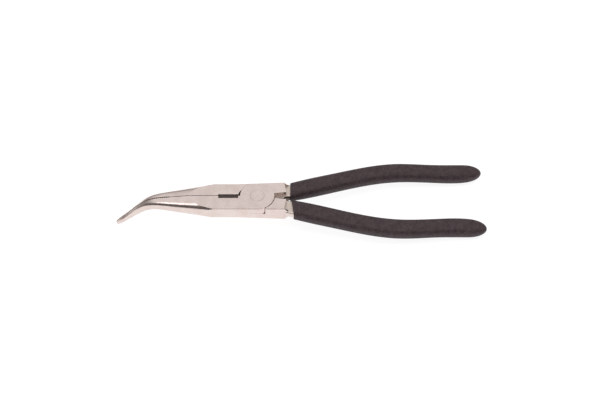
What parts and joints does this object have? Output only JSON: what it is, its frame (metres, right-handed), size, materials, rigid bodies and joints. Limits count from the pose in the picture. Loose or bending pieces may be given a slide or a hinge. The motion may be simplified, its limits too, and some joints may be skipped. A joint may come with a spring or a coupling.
{
  "type": "needle nose pliers",
  "caption": "Bent needle nose pliers with side cutters, a flush riveted lap joint and dark dipped grips.",
  "frame": {"origin": "on the pivot axis, at the flat underside of the joint", "axes": "+X from the pivot to the handles, the jaws point to -X; +Z along the pivot axis, out of the face that the bent tip leans away from; the jaws open along Y"},
  "size_m": [0.2, 0.0486, 0.0243],
  "materials": {
    "ground_steel": "ground and satin polished tool steel, bright, slightly warm",
    "rivet_steel": "ground flush with the lever faces",
    "dipped_vinyl": "matte brown black dipped vinyl with a fine pebbled skin"
  },
  "bodies": {
    "bottom_lever": {"bottom_lap_lever": "ground_steel", "pivot_rivet": "rivet_steel", "bottom_lever_grip": "dipped_vinyl"},
    "top_lever": {"top_lap_lever": "ground_steel", "top_lever_grip": "dipped_vinyl"}
  },
  "joints": [
    {"name": "pivot", "type": "hinge", "parent": "bottom_lever", "child": "top_lever", "pos_m": [0, 0, 0.0045], "axis": [0, 0, 1], "range_deg": [0, 35]}
  ]
}
